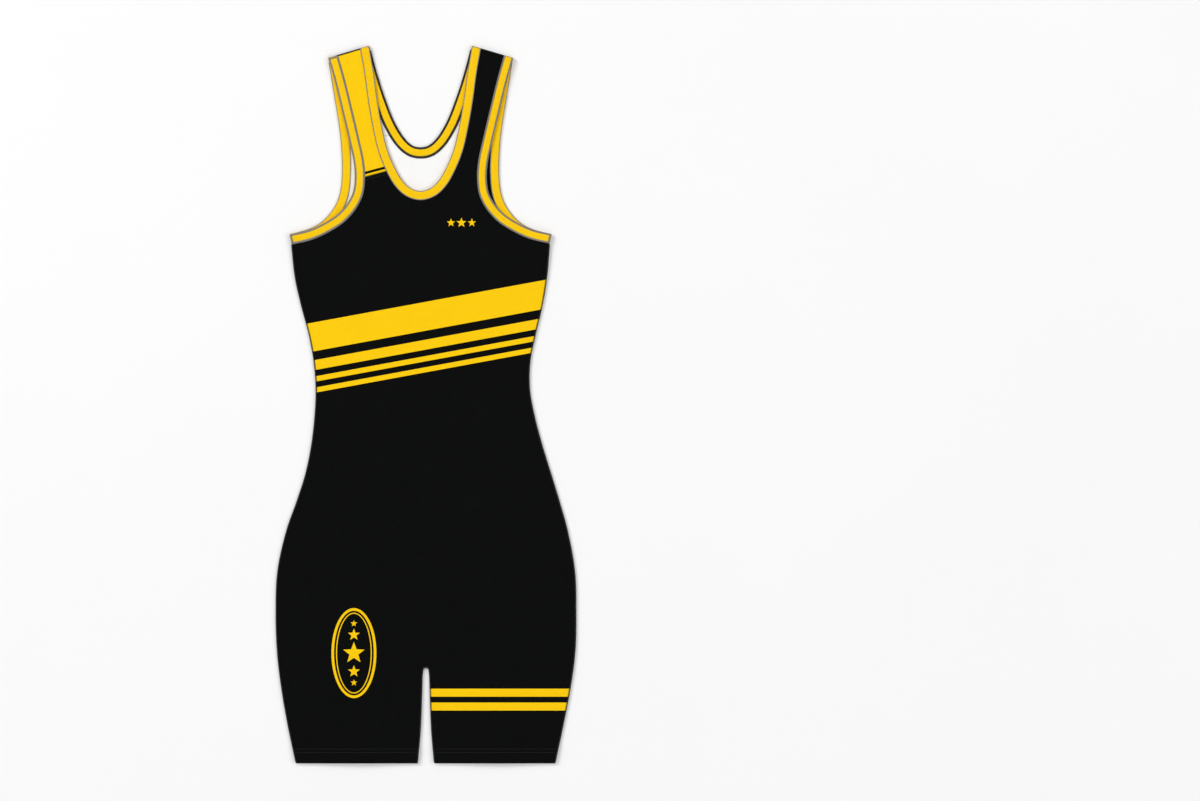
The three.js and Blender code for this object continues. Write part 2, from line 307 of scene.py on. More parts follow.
def clothHeights(face, points):
    # Lower and upper height of a face's cloth at points of the pattern
    x, up = points[:, 0], points[:, 1]
    seamAway, seamFar = nearSeams[face](points)
    besideBinding = 1 - rise(seamAway, 0, lie["bindingReach"])
    besideSide = 1 - rise(nearSides(points)[0], 0, lie["sideReach"])
    tucked = 1 - rise(seamAway, 0, lie["tuckReach"])
    upper = rise(up, lie["upperFrom"], lie["upperFull"])
    wall = pattern["clothWall"]
    channel = (pattern["bindingThick"] - wall) / 2
    backHem = hemAt(up - pattern["backHemUp"])
    if face == "back":
        under = np.maximum(channel * besideBinding, upper * besideSide)
        under = under + (channel - under) * tucked
        over = under + wall + backHem
    else:
        swell = sum(
            height * (1 - rise(np.hypot((x - mx) / across, (up - mUp) / along), 0, 1))
            for mx, mUp, across, along, height in mounds
        )
        base = wall + backHem + pattern["seamGap"] + upper
        under = base + (channel * besideBinding + swell) * (1 - besideSide)
        under = under + (bindingRest(face) + channel - under) * tucked
        under = under + lie["waveHeight"] * softWaves(x, up) * (1 - besideSide) * (1 - tucked)
        under = under + puckers(x, up, seamAway, seamFar)
        over = under + wall + hemAt(up)
    return under + lie["thinner"], over - lie["thinner"]


# How finely the cloth is divided, and how far it reaches into the bindings ("tuck")
division = {
    "columns": 38, "body": 104, "underarm": 11, "armhole": 36, "neckBase": 30, "strap": 50,
    "tuck": 2.2, "margin": 2.6, "legStep": 4.3, "legMargins": (4.0, 1.5), "strapFoot": 0.002,
    "hemUps": (0, 0.25, 0.9, 3, 6, 9, 12, 15, 17, 18.2, 19.4, 20.6, 21.8, 24),
    "notchUps": (111.0, 112.4, 113.5, 114.3, 114.8),
}
edgeSteps = np.array([0.0, 0.25, 0.9])
edgeRound = {"reach": 0.9, "least": 0.3, "inside": 9.0}  # how cut edges are rounded off


def rowPoints(outer, inner):
    length = np.linalg.norm(inner - outer)
    middle = np.linspace(division["margin"], length - division["margin"], division["columns"])
    away = np.concatenate([edgeSteps, middle, length - edgeSteps[::-1]])
    return outer + (inner - outer) * (away / length)[:, None]


def halfRows(face, side):
    # Rows of points of half a panel, from hem to shoulder, and whether each row's inner end is an edge
    hemUp = 0.0 if face == "front" else pattern["backHemUp"]
    hemUps = hemUp + np.array(division["hemUps"])
    notchUps = division["notchUps"]
    legFrom, legTo = hemUps[-1] + division["legMargins"][0], notchUps[0] - division["legMargins"][1]
    legUps = np.concatenate([hemUps, np.arange(legFrom, legTo, division["legStep"]), notchUps])
    bodyUps = np.linspace(pattern["crotchUp"], pattern["bodyTopUp"], division["body"] + 1)
    inward = pattern["bindingWidth"] + pattern["seamGap"] - division["tuck"]
    gap = pattern["seamGap"] + (pattern["tapeNose"] if face == "front" else pattern["tapeDepth"])

    def stations(kind, below):
        line, start, end = bindingRun(face, kind, inward, gap)
        start = start if kind == "armhole" else (len(line) - 1) / 2
        seam = int(start) + int(np.argmax(line[int(start):, 1] >= strapSeams[face][kind]))
        lower = np.linspace(start, seam, below + 1)
        upper = np.linspace(seam, end, division["strap"] + 1)
        return placed(pickAlong(line, np.concatenate([lower, upper[1:]])), side)

    armhole = stations("armhole", division["armhole"] + division["neckBase"])
    neck = stations("neck", division["neckBase"])
    underarmUps = np.linspace(pattern["bodyTopUp"], armhole[0, 1], division["underarm"] + 1)[1:-1]
    outerUps = np.concatenate([legUps, bodyUps, underarmUps])
    outer = np.vstack([np.column_stack([sideAt[side](outerUps), outerUps]), armhole])
    chestFoot = np.array([middleAt(pattern["bodyTopUp"]), pattern["bodyTopUp"]])
    share = np.linspace(0, 1, division["underarm"] + division["armhole"] + 1)[1:, None]
    inner = np.vstack([
        np.column_stack([side * inseamAt(legUps), legUps]),
        np.column_stack([middleAt(bodyUps), bodyUps]),
        chestFoot + (neck[0] - chestFoot) * share,
        neck[1:],
    ])
    innerEdge = np.zeros(len(outer), bool)
    innerEdge[: len(legUps)] = True
    innerEdge[-len(neck):] = True
    rows = [rowPoints(o, i) for o, i in zip(outer, inner)]
    return rows, innerEdge


def edgeAways(rows, innerEdge, openStart=True, openEnd=True):
    # How far each point is from the cut edges, where the cloth is rounded off
    count = len(rows[0])
    aways = []
    for r, row in enumerate(rows):
        away = np.full(count, edgeRound["inside"])
        away[: len(edgeSteps)] = edgeSteps
        if innerEdge[r]:
            away[-len(edgeSteps):] = edgeSteps[::-1]
        if openStart:
            away = np.minimum(away, np.linalg.norm(row - rows[0], axis=1))
        if openEnd:
            away = np.minimum(away, np.linalg.norm(row - rows[-1], axis=1))
        aways.append(away)
    return aways


def toMetres(points):
    # Pattern points with heights, to metres in the part's frame
    return [(x / 1000, (up - pattern["length"] / 2) / 1000, z / 1000) for x, up, z in points]


def linkPiece(name, mesh, materials, smooth=True):
    for material in materials:
        mesh.materials.append(material)
    mesh.polygons.foreach_set("use_smooth", [smooth] * len(mesh.polygons))
    piece = linked(name, mesh)
    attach(piece, "root")
    return piece


def meshFrom(name, points, faces):
    mesh = bpy.data.meshes.new(name)
    mesh.from_pydata(toMetres(points), [], faces)
    return mesh


def meshOutward(name, points, faces):
    # A mesh whose faces all look outwards
    mesh = meshFrom(name, points, faces)
    work = bmesh.new()
    work.from_mesh(mesh)
    bmesh.ops.recalc_face_normals(work, faces=work.faces[:])
    work.to_mesh(mesh)
    work.free()
    return mesh


def ringFaces(rings, sides, start=0):
    # Faces between rings of points, each ring closed on itself
    faces = []
    for low in range(start, start + (rings - 1) * sides, sides):
        for k in range(sides):
            n = (k + 1) % sides
            faces.append((low + k, low + n, low + sides + n, low + sides + k))
    return faces


def tubeFaces(rings, sides, start=0):
    # The same, with a face at each end
    last = start + (rings - 1) * sides
    ends = [tuple(range(start, start + sides))[::-1], tuple(range(last, last + sides))]
    return ringFaces(rings, sides, start) + ends


def layerFaces(cells, count, start=0):
    # Faces of an upper layer, of the lower one under it, and of the wall round their open edges
    upper = [[start + v for v in cell] for cell in cells]
    lower = [[v + count for v in cell[::-1]] for cell in upper]
    edges = dict.fromkeys(edge for cell in upper for edge in zip(cell, cell[1:] + cell[:1]))
    walls = [[a + count, b + count, b, a] for a, b in edges if (b, a) not in edges]
    return upper, lower, walls


def clothShell(name, face, halves, materials):
    # A thin closed wall of cloth. Material 0 is the outer side, material 1 the inner side
    keys, flat, aways, quads = {}, [], [], []
    for side, rows, rowAways in halves:
        index = np.empty((len(rows), len(rows[0])), int)
        for r, row in enumerate(rows):
            for c, (x, y) in enumerate(row):
                key = (round(x, 3), round(y, 3))
                if key not in keys:
                    keys[key] = len(flat)
                    flat.append((x, y))
                    aways.append(rowAways[r][c])
                index[r, c] = keys[key]
        for r in range(1, len(rows)):
            for c in range(1, len(rows[0])):
                quad = [index[r - 1, c - 1], index[r - 1, c], index[r, c], index[r, c - 1]]
                quads.append(list(dict.fromkeys(quad if side < 0 else quad[::-1])))
    quads = [quad for quad in quads if len(quad) > 2]
    flat, aways = np.array(flat), np.array(aways)
    under, over = clothHeights(face, flat)
    rounded = np.sqrt(1 - (1 - np.clip(aways / edgeRound["reach"], 0, 1)) ** 2)
    half = (over - under) / 2 * (edgeRound["least"] + (1 - edgeRound["least"]) * rounded)
    middle = (under + over) / 2
    layers = [np.column_stack([flat, middle + half]), np.column_stack([flat, middle - half])]
    upper, lower, walls = layerFaces(quads, len(flat))
    mesh = meshFrom(name, np.vstack(layers), upper + lower + walls)
    upperSlot = 0 if face == "front" else 1
    slots = [upperSlot] * len(upper) + [1 - upperSlot] * len(lower) + [0] * len(walls)
    mesh.polygons.foreach_set("material_index", slots)
    return linkPiece(name, mesh, materials)


def printOn(piece, cuts, colourAt):
    # Cuts the cloth's faces along straight lines, then colours the faces between them
    work = bmesh.new()
    work.from_mesh(piece.data)
    for x, up, slope in cuts:
        place = toMetres([(x, up, 0)])[0]
        away = (1, 0, 0) if slope is None else (-slope, 1, 0)
        everything = work.verts[:] + work.edges[:] + work.faces[:]
        bmesh.ops.bisect_plane(work, geom=everything, dist=1e-7, plane_co=place, plane_no=away)
    for faceCut in work.faces:
        centre = faceCut.calc_center_median() * 1000
        up = centre.y + pattern["length"] / 2
        faceCut.material_index = colourAt(centre.x, up, faceCut.material_index)
        faceCut.smooth = True
    work.to_mesh(piece.data)
    work.free()


# Finishes: colours are linear, and a column of the knit, its wale, is in millimetres. The deep colour is
# where the knit is darker: partly random tone, partly painted shade in the hollows of its loops
finishes = table("colour deep roughness specular sheen sheenTint wale bump", {
    "blackKnit": (
        (0.0034, 0.0041, 0.0037), (0.0003, 0.0005, 0.0004), 0.48, 0.036, 0.004, (0.5, 0.52, 0.52), 0.75, 0.85,
    ),
    "goldKnit": ((1.0, 0.64, 0.0006), (0.86, 0.47, 0.0004), 0.55, 0.08, 0.01, (1.0, 0.8, 0.3), 0.75, 0.45),
    "goldBinding": ((1.0, 0.64, 0.0006), (0.84, 0.45, 0.0004), 0.52, 0.09, 0.01, (1.0, 0.8, 0.3), 0.6, 0.5),
    "whiteInside": ((0.97, 0.97, 0.96), (0.78, 0.78, 0.77), 0.8, 0.15, 0.05, (1.0, 1.0, 1.0), 0.75, 0.4),
    "blackTape": ((0.008, 0.0085, 0.008), (0.004, 0.004, 0.004), 0.8, 0.2, 0.06, (0.6, 0.6, 0.6), 1.1, 0.8),
})
threads = table("colour roughness specular", {
    "greyThread": ((0.25, 0.235, 0.2), 0.5, 0.35),
    "blackThread": ((0.006, 0.006, 0.006), 0.45, 0.4),
})


def addNode(tree, kind, inputs=None, **settings):
    node = tree.nodes.new(kind)
    for key, value in settings.items():
        setattr(node, key, value)
    for key, value in (inputs or {}).items():
        if isinstance(value, bpy.types.NodeSocket):
            tree.links.new(value, node.inputs[key])
        else:
            node.inputs[key].default_value = value
    return node


def noise(tree, place, scale, detail, roughness=0.5):
    inputs = {"Vector": place, "Scale": scale, "Detail": detail, "Roughness": roughness}
    return addNode(tree, "ShaderNodeTexNoise", inputs).outputs["Fac"]


def newMaterial(name, look):
    material = bpy.data.materials.new(name)
    material.use_nodes = True
    tree = material.node_tree
    shader = tree.nodes["Principled BSDF"]
    shader.inputs["Roughness"].default_value = look["roughness"]
    shader.inputs["Specular IOR Level"].default_value = look["specular"]
    place = addNode(tree, "ShaderNodeTexCoord").outputs["Object"]
    return material, tree, shader, place


def addBump(tree, shader, height, strength, depth):
    bump = addNode(tree, "ShaderNodeBump", {"Height": height, "Strength": strength, "Distance": depth})
    tree.links.new(bump.outputs[0], shader.inputs["Normal"])


def shadeBetween(tree, shader, factor, dark, pale, darkTo=0.0, paleFrom=1.0):
    # The colour goes from dark to pale as the factor grows
    ramp = addNode(tree, "ShaderNodeValToRGB", {"Fac": factor})
    for element, position, colour in zip(ramp.color_ramp.elements, (darkTo, paleFrom), (dark, pale)):
        element.position = position
        element.color = (*colour, 1)
    tree.links.new(ramp.outputs["Color"], shader.inputs["Base Color"])


# Loops of the knit, whose hollows get a painted shade, with slow changes of tone and fuzz, and the turns of
# the threads
knitDetail = {
    "course": 0.8, "lean": 1.2, "loop": 0.28, "loopMiddle": 0.62, "slowScale": 22.0, "fuzzScale": 900.0,
    "slowShade": 0.4, "leastShade": 0.08, "loopPaintedShade": 0.85, "fuzzShade": 0.2, "fuzzHeight": 0.6,
    "sheenRoughness": 0.4, "depth": 0.0003,
}
threadDetail = {
    "scale": 2400.0, "darker": 0.62, "darkTo": 0.3, "paleFrom": 0.62, "bump": 0.5, "depth": 0.0001,
}


def knitMaterial(name):
    # Fine knit: columns of small V stitches, its colour darker in the loops' hollows (a painted shade) and
    # varied by slow noise and fuzz
    look, detail = finishes[name], knitDetail
    material, tree, shader, place = newMaterial(name, look)
    shader.inputs["Sheen Weight"].default_value = look["sheen"]
    shader.inputs["Sheen Roughness"].default_value = detail["sheenRoughness"]
    shader.inputs["Sheen Tint"].default_value = (*look["sheenTint"], 1)

    def calc(operation, *values):
        return addNode(tree, "ShaderNodeMath", dict(enumerate(values)), operation=operation).outputs[0]

    split = addNode(tree, "ShaderNodeSeparateXYZ", {0: place})
    across = calc("MULTIPLY", split.outputs[0], 1000 / look["wale"])
    along = calc("MULTIPLY", split.outputs[1], 1000 / (look["wale"] * detail["course"]))
    leg = calc("PINGPONG", across, 0.5)
    lean = calc("ADD", along, calc("MULTIPLY", leg, detail["lean"]))
    loop = calc("SINE", calc("MULTIPLY", lean, 2 * math.pi))
    ridge = calc("SINE", calc("MULTIPLY", leg, 2 * math.pi))
    raised = calc("MULTIPLY_ADD", loop, detail["loop"], detail["loopMiddle"])
    height = calc("MULTIPLY", ridge, raised)
    slow = noise(tree, place, detail["slowScale"], 4.0, 0.6)
    fuzz = noise(tree, place, detail["fuzzScale"], 2.0)
    # Painted shade: the colour is darker where the loops are low, with random tone from the slow noise and
    # the fuzz
    shade = calc("MULTIPLY_ADD", slow, detail["slowShade"], detail["leastShade"])
    shade = calc("ADD", shade, calc("MULTIPLY", height, detail["loopPaintedShade"]))
    shade = calc("ADD", shade, calc("MULTIPLY", fuzz, detail["fuzzShade"]))
    shade.node.use_clamp = True
    mix = addNode(tree, "ShaderNodeMix", {"Factor": shade}, data_type="RGBA")
    mix.inputs[6].default_value = (*look["deep"], 1)
    mix.inputs[7].default_value = (*look["colour"], 1)
    tree.links.new(mix.outputs[2], shader.inputs["Base Color"])
    fuzzy = calc("ADD", height, calc("MULTIPLY", fuzz, detail["fuzzHeight"]))
    addBump(tree, shader, fuzzy, look["bump"], detail["depth"])
    return material


def threadMaterial(name):
    # Twisted thread with faint differences between its turns
    look, detail = threads[name], threadDetail
    material, tree, shader, place = newMaterial(name, look)
    twist = noise(tree, place, detail["scale"], 2.0)
    dark = [value * detail["darker"] for value in look["colour"]]
    shadeBetween(tree, shader, twist, dark, look["colour"], detail["darkTo"], detail["paleFrom"])
    addBump(tree, shader, twist, detail["bump"], detail["depth"])
    return material


knit = {name: knitMaterial(name) for name in finishes}
thread = {name: threadMaterial(name) for name in threads}
print("materials made")

# Prints: heights up where x = 0, the slanted stripes' slope, and the gold strap's black line above its seam;
# and the x beyond which the back's inner side is black, a painted shade for the narrow gap between the
# armhole bindings
printsAndShade = {
    "stripes": [(553.7, 519.1), (508.3, 496.4), (488.7, 482.4), (475.3, 469.2)],
    "stripeSlope": 0.184,
    "legStripes": [(89.6, 80.0), (73.0, 63.4)],
    "backBand": (560.8, 496.0),
    "strapLines": {"front": (2.7, 5.8), "back": (4.2, 6.8)},
    "insidePaintedShadeFrom": 60.0,
}


def makePanels():
    # The body and the gold strap of each face, and the ends of the seams between them
    pieces, seams = {}, {}
    bodyKnit = [knit["blackKnit"], knit["whiteInside"], knit["goldKnit"]]
    strapKnit = [knit["goldKnit"], knit["whiteInside"], knit["blackKnit"]]
    for face in ("front", "back"):
        rightRows, rightInner = halfRows(face, -1)
        leftRows, leftInner = halfRows(face, 1)
        seamRow = len(rightRows) - 1 - division["strap"]
        body, strap = rightRows[: seamRow + 1], list(rightRows[seamRow:])
        strap[0] = strap[0] + (strap[1] - strap[0]) * division["strapFoot"]
        right = (-1, body, edgeAways(body, rightInner[: seamRow + 1], openEnd=False))
        left = (1, leftRows, edgeAways(leftRows, leftInner))
        panel = clothShell(f"{face}_cloth", face, [right, left], bodyKnit)
        half = (-1, strap, edgeAways(strap, rightInner[seamRow:], openStart=False))
        goldStrap = clothShell(f"gold_strap_{face}", face, [half], strapKnit)
        seams[face] = (strap[0][0], strap[0][-1])
        printAndShadePanel(panel, face)
        printStrap(goldStrap, face, seams[face])
        pieces[face] = (panel, goldStrap)
    return pieces, seams


def printAndShadePanel(panel, face):
    slope = printsAndShade["stripeSlope"] if face == "front" else 0.0
    bands = printsAndShade["stripes"] if face == "front" else [printsAndShade["backBand"]]
    cuts = [(0, up, slope) for band in bands for up in band]
    cuts += [(0, up, 0.0) for band in printsAndShade["legStripes"] for up in band]
    # A cut where the painted shade on the back's inner side begins
    if face == "back":
        cuts.append((printsAndShade["insidePaintedShadeFrom"], 0, None))

    def colourAt(x, up, slot):
        if slot == 1:
            # The back's inner side is black beyond this x: painted shade for the gap between the armhole
            # bindings
            return 0 if face == "back" and x > printsAndShade["insidePaintedShadeFrom"] else 1
        level = up - slope * x
        if any(low < level < high for high, low in bands):
            return 2
        if x > 0 and any(low < up < high for high, low in printsAndShade["legStripes"]):
            return 2
        return 0

    printOn(panel, cuts, colourAt)


def printStrap(strap, face, seam):
    # A black line across the gold strap, a little above its seam
    (ax, aUp), (bx, bUp) = seam
    slope = (bUp - aUp) / (bx - ax)
    tilt = math.hypot(1, slope)
    low, high = printsAndShade["strapLines"][face]
    cuts = [(ax, aUp + level * tilt, slope) for level in (low, high)]

    def colourAt(x, up, slot):
        above = (up - aUp - slope * (x - ax)) / tilt
        return 2 if slot == 0 and low < above < high else slot

    printOn(strap, cuts, colourAt)


panels, strapSeamLines = makePanels()
print("panels made")

# A folded binding's section: distance from the free edge, height. Its channel holds the cloth
bindingShape = {
    "outside": [
        (10.5, 1.6), (10.48, 1.82), (10.25, 1.95), (9.9, 1.93), (9.5, 1.84), (9.1, 1.93), (8.5, 2.0),
        (7.2, 2.04), (5.2, 2.05), (3.2, 2.04), (1.9, 1.98), (1.4, 1.86), (0.95, 1.8), (0.5, 1.66),
        (0.15, 1.36), (0, 1),
    ],
    "channel": [(10.5, 1.54), (7.8, 1.54), (5.0, 1.5), (2.4, 1.4), (2.0, 1.0)],
    "spacing": 1.8, "fromFold": 0.35,
    "ripple": 0.07, "ripplePitch": 5.6, "rippleDrift": (1.7, 13.0), "rippleMiddle": 5.0,
    "rippleReach": 3.5, "rippleAbove": 1.7,
}


def bindingLoop():
    outside, channel, thick = bindingShape["outside"], bindingShape["channel"], pattern["bindingThick"]
    lower = [(u, max(thick - h, 0.0)) for u, h in outside[-2::-1]]
    lowerChannel = [(u, thick - h) for u, h in channel[:-1]]
    return outside + lower + lowerChannel + channel[::-1]


def bindingPlaces(face, kind, side, inward, below, count):
    line, start, end = bindingRun(face, kind, inward, below)
    return placed(pickAlong(line, np.linspace(start, end, count + 1)), side)


def bindingBelow(face):
    # The front bindings run up over the tape's nose, and the back ones end at its tail
    return bindingShape["fromFold"] if face == "front" else pattern["seamGap"] + pattern["tapeDepth"]


def bindingName(word, face, kind, side):
    return f"{kind}_{word}_{face}" + ("" if kind == "neck" else f"_{wearerSides[side]}")


def makeBinding(*key):
    (face, kind, side), name = key, bindingName("edge", *key)
    loop, below, shape = bindingLoop(), bindingBelow(face), bindingShape
    length = lengthsAlong(bindingPlaces(face, kind, side, shape["rippleMiddle"], below, 200))[-1]
    count = int(length / shape["spacing"])
    far, drift = np.linspace(0, length, count + 1), shape["rippleDrift"]
    ripple = np.sin(2 * np.pi * far / shape["ripplePitch"] + drift[0] * np.sin(far / drift[1]))
    rings = []
    for inward, height in loop:
        ridge = math.exp(-(((inward - shape["rippleMiddle"]) / shape["rippleReach"]) ** 2))
        ridge = ridge if height > shape["rippleAbove"] else 0.0
        z = bindingRest(face) + height + shape["ripple"] * ridge * ripple
        rings.append(np.column_stack([bindingPlaces(face, kind, side, inward, below, count), z]))
    points = np.array(rings).transpose(1, 0, 2).reshape(-1, 3)
    mesh = meshOutward(name, points, tubeFaces(count + 1, len(loop)))
    piece = linkPiece(name, mesh, [knit["goldBinding"]])
    piece["cutLength"] = float(length) / 1000
    return piece


# Each binding's stitches: kind, then the edge row's and the seam row's distance from the free edge and height
stitchRows = {
    ("front", "neck", 1): ("plain", (0.45, 1.62), (10.3, 1.84)),
    ("back", "neck", 1): ("heavy", (0.4, 1.74), (10.9, 1.82)),
    ("front", "armhole", -1): ("satin", (1.45, 1.86), (11.2, 1.84)),
    ("front", "armhole", 1): ("narrow", (0.6, 1.86), (10.1, 1.84)),
    ("back", "armhole", -1): ("plain", (0.35, 1.56), (9.95, 1.82)),
    ("back", "armhole", 1): ("plain", (0.35, 1.56), (9.95, 1.82)),
}
undersideRows = ("under", (1.4, 0.23), (9.4, 0.25))
bindings = {key: makeBinding(*key) for key in stitchRows}
print("bindings made")

# Kinds of stitches: the size of one, how far apart they are, how they lean in degrees, and their thread
stitchKinds = table("length width height pitch lean thread", {
    "plain": (3.15, 1.5, 0.68, 2.8, 0.0, "greyThread"),
    "satin": (3.0, 0.8, 0.66, 0.64, 70.0, "greyThread"),
    "narrow": (2.5, 0.8, 0.66, 0.64, 68.0, "greyThread"),
    "heavy": (3.4, 0.8, 0.66, 0.6, 74.0, "blackThread"),
    "end": (2.2, 1.0, 0.56, 2.1, 0.0, "greyThread"),
    "hem": (2.6, 0.5, 0.4, 3.1, 0.0, "blackThread"),
    "under": (2.9, 0.9, 0.42, 2.75, 0.0, "blackThread"),
})
# The form of a stitch: rings by share of its length and of its thickness, and how uneven stitches are
stitchForm = {
    "rings": [(-0.5, 0.2), (-0.4, 0.75), (0.0, 1.0), (0.4, 0.75), (0.5, 0.2)], "sides": 6,
    "unevenTurn": 0.04, "unevenSize": 0.05,
}


def stitchMesh(name, places, kind):
    # Each stitch is a small rounded thread lying at a place, in a direction
    settings, form = stitchKinds[kind], stitchForm
    rings, sides = form["rings"], form["sides"]
    turns = [2 * math.pi * k / sides for k in range(sides)]
    length, wide, high = settings["length"], settings["width"] / 2, settings["height"] / 2
    shape = [
        (t * length, fat * math.cos(turn) * wide, fat * math.sin(turn) * high)
        for t, fat in rings for turn in turns
    ]
    chance = random.Random(name)
    points, faces = [], []
    for x, up, z, dx, dy in places:
        uneven = chance.uniform(-form["unevenTurn"], form["unevenTurn"])
        turn = math.atan2(dy, dx) + math.radians(settings["lean"]) + uneven
        grow = chance.uniform(1 - form["unevenSize"], 1 + form["unevenSize"])
        c, s = math.cos(turn) * grow, math.sin(turn) * grow
        faces += tubeFaces(len(rings), sides, len(points))
        points += [(x + a * c - b * s, up + a * s + b * c, z + h) for a, b, h in shape]
    return linkPiece(name, meshFrom(name, points, faces), [thread[settings["thread"]]])


def evenMiddles(line, pitch):
    # Distances of a line's points, and of the middles of even steps of about the pitch
    far = lengthsAlong(line)
    count = max(1, int(far[-1] / pitch))
    return far, (np.arange(count) + 0.5) * far[-1] / count


def rowPlaces(line, heightAt, kind):
    # Places of a kind of stitch along a line, at a height, with the line's direction
    far, middles = evenMiddles(line, stitchKinds[kind]["pitch"])
    flat = pointsAt(line, far, middles)
    along = pointsAt(line, far, middles + 0.4) - pointsAt(line, far, middles - 0.4)
    heights = np.broadcast_to(heightAt(flat), len(flat))
    return [(x, up, float(z), dx, dy) for (x, up), z, (dx, dy) in zip(flat, heights, along)]


# Where rows end inside the binding's ends, and the rows that cross those ends
rowEnds = {"below": 0.6, "satinBelow": 1.5, "from": 0.6, "to": 10.2, "height": 1.93, "steps": 12}


def makeBindingStitches():
    made = {}
    for key, shown in stitchRows.items():
        below, made[key] = bindingBelow(key[0]) + rowEnds["below"], []
        name = bindingName("edge", *key)
        sides = [("", shown)] + ([("_under", undersideRows)] if key[0] == "back" else [])
        for ending, (kind, *rows) in sides:
            for label, (inward, height) in zip(("edge", "seam"), rows):
                line = bindingPlaces(*key, inward, below, 400)
                places = rowPlaces(line, lambda flat: bindingRest(key[0]) + height, kind)
                made[key].append(stitchMesh(f"{name}_{label}{ending}_stitches", places, kind))
    return made


def addEndRows():
    # A row across each upper end of a front binding
    for key in (("front", "neck", 1), ("front", "armhole", -1), ("front", "armhole", 1)):
        face, kind, side = key
        stitch, margin = ("satin", "satinBelow") if (kind, side) == ("armhole", -1) else ("end", "below")
        for end in ((-1, 1) if kind == "neck" else (side,)):
            line = []
            for inward in np.linspace(rowEnds["from"], rowEnds["to"], rowEnds["steps"]):
                run, first, last = bindingRun(face, kind, inward, bindingBelow(face) + rowEnds[margin])
                line.append(placed(pickAlong(run, [last]), end)[0])
            places = rowPlaces(np.array(line), lambda flat: bindingRest(face) + rowEnds["height"], stitch)
            name = f"{bindingName('edge', *key)}_{wearerSides[end]}_end_stitches"
            bindingStitches[key].append(stitchMesh(name, places, stitch))


bindingStitches = makeBindingStitches()
addEndRows()

# Rows of hem stitches: up from the hem, down from the gold strap's seam, and their lift off the cloth
hemRows = {
    "ups": (13.0, 17.2), "inset": 2.0, "belowSeam": (1.3, 3.6), "seamShare": (0.09, 0.91),
    "lift": 0.02, "backLift": 0.12, "steps": 60, "seamSteps": 30,
}


def clothRow(face, line):
    # A row of hem stitches on the outer side of a face's cloth
    def heightAt(flat):
        under, over = clothHeights(face, flat)
        return over + hemRows["lift"] if face == "front" else under + hemRows["backLift"]

    return rowPlaces(line, heightAt, "hem")


def makeHemStitches(face):
    # Two rows of hem stitching round each leg
    hemUp = 0.0 if face == "front" else pattern["backHemUp"]
    made = []
    for side, label in wearerSides.items():
        places = []
        for above in hemRows["ups"]:
            up = hemUp + above
            first = side * (inseamAt(up) + hemRows["inset"])
            last = sideAt[side](up) - side * hemRows["inset"]
            places += clothRow(face, np.linspace((first, up), (last, up), hemRows["steps"]))
        made.append(stitchMesh(f"hem_stitches_{face}_{label}", places, "hem"))
    return made


def makeStrapSeamStitches(face):
    # Two rows on the body, below the gold strap's seam
    (start, end), places = strapSeamLines[face], []
    down = np.array([end[1] - start[1], start[0] - end[0]])
    down /= np.linalg.norm(down)
    shares = np.linspace(*hemRows["seamShare"], hemRows["seamSteps"])[:, None]
    for away in hemRows["belowSeam"]:
        places += clothRow(face, start + down * away + (end - start) * shares)
    return stitchMesh(f"strap_seam_stitches_{face}", places, "hem")


hemStitches = {face: makeHemStitches(face) + [makeStrapSeamStitches(face)] for face in ("front", "back")}
print("stitches made")

# Threads that wrap the front's and back's edges together at the sides and between the legs
wrapSettings = {
    "inset": 1.4, "proud": 0.14, "radius": 0.32, "pitch": 0.85, "lean": 0.5, "thread": "blackThread",
}
endWrapSettings = {
    "inset": 2.2, "proud": 0.16, "radius": 0.34, "pitch": 0.66, "lean": 0.35, "thread": "greyThread",
    "upper": 4.24, "lower": 0.1, "from": 0.4, "beyond": 0.6, "steps": 14,
}
# A loop: share of its length, reach past the edge (in insets if below 0), share of the way down
wrapPath = [
    (0.0, -1.0, 0), (0.12, -0.3, 0), (0.3, 0.168, 1 / 6), (0.5, 0.28, 1 / 2), (0.7, 0.168, 5 / 6),
    (0.88, -0.3, 1), (1.0, -1.0, 1),
]
wrapSides = 5


def clothSides(inside):
    # Upper side of the front and lower side of the back
    backIn = np.column_stack([inside[:, 0], np.maximum(inside[:, 1], pattern["backHemUp"])])
    return clothHeights("front", inside)[1], clothHeights("back", backIn)[0]


def wrapMesh(name, line, outward, settings, sidesAt):
    # Loops from an upper side, round the edge, to a lower side
    far, middles = evenMiddles(line, settings["pitch"])
    flat = pointsAt(line, far, middles)
    along = pointsAt(line, far, middles + 0.5) - flat
    along /= np.linalg.norm(along, axis=1)[:, None]
    out = np.column_stack([along[:, 1], -along[:, 0]]) * outward
    upper, lower = sidesAt(flat - out * settings["inset"])
    top = upper + settings["proud"]
    bottom = np.maximum(lower - settings["proud"], settings["radius"])
    points, faces = [], []
    for i in range(len(flat)):
        path = []
        for share, reach, low in wrapPath:
            reach *= settings["inset"] if reach < 0 else 1
            spot = flat[i] + out[i] * reach + along[i] * settings["lean"] * (0.5 - share)
            path.append(Vector((*spot, top[i] + (bottom[i] - top[i]) * low)))
        faces += tubeFaces(len(path), wrapSides, len(points))
        sideways = Vector((*along[i], 0))
        for j, spot in enumerate(path):
            go = (path[min(j + 1, len(path) - 1)] - path[max(j - 1, 0)]).normalized()
            upwards = go.cross(sideways).normalized()
            for k in range(wrapSides):
                turn = 2 * math.pi * k / wrapSides
                around = sideways * math.cos(turn) + upwards * math.sin(turn)
                points.append(spot + around * settings["radius"])
    return linkPiece(name, meshOutward(name, points, faces), [thread[settings["thread"]]])


